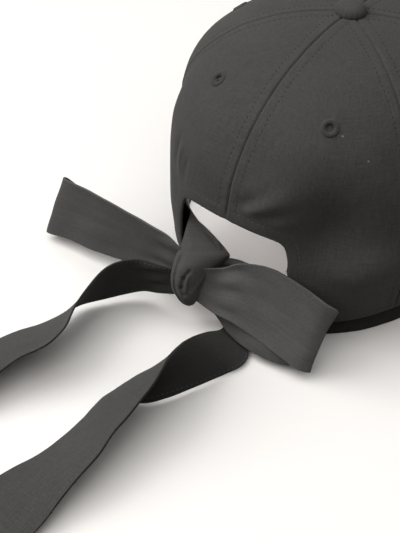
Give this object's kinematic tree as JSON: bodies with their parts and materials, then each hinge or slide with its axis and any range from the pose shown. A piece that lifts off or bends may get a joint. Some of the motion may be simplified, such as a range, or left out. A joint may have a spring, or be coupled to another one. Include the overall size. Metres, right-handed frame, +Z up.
{
  "type": "cap",
  "caption": "Soft panelled cloth cap with a curved peak and an arched back opening closed by a wide cloth ribbon tied in a bow with long tails",
  "frame": {"origin": "centre of the head opening, on the surface that the cap rests on", "axes": "+Z up out of the crown, -Y towards the peak, +Y towards the back opening and the bow, -X towards the wearer's right"},
  "size_m": [0.211, 0.462, 0.1459],
  "materials": {
    "crown": "matte charcoal twill",
    "stitching": "matte charcoal thread",
    "lining": "matte black cotton",
    "ribbon": "matte charcoal cloth ribbon"
  },
  "bodies": {
    "root": {"back_left_panel": "crown", "back_right_panel": "crown", "side_left_panel": "crown", "side_right_panel": "crown", "front_left_panel": "crown", "front_right_panel": "crown", "eyelet_back_left": "stitching", "eyelet_back_right": "stitching", "eyelet_side_left": "stitching", "eyelet_side_right": "stitching", "eyelet_front_left": "stitching", "eyelet_front_right": "stitching", "top_button": "crown", "peak": "crown", "sweatband": "lining", "left_tie": "ribbon", "right_tie": "ribbon", "bow_knot": "ribbon", "bow_loop_left": "ribbon", "bow_loop_right": "ribbon", "left_tail": "ribbon", "right_tail": "ribbon"}
  },
  "joints": []
}
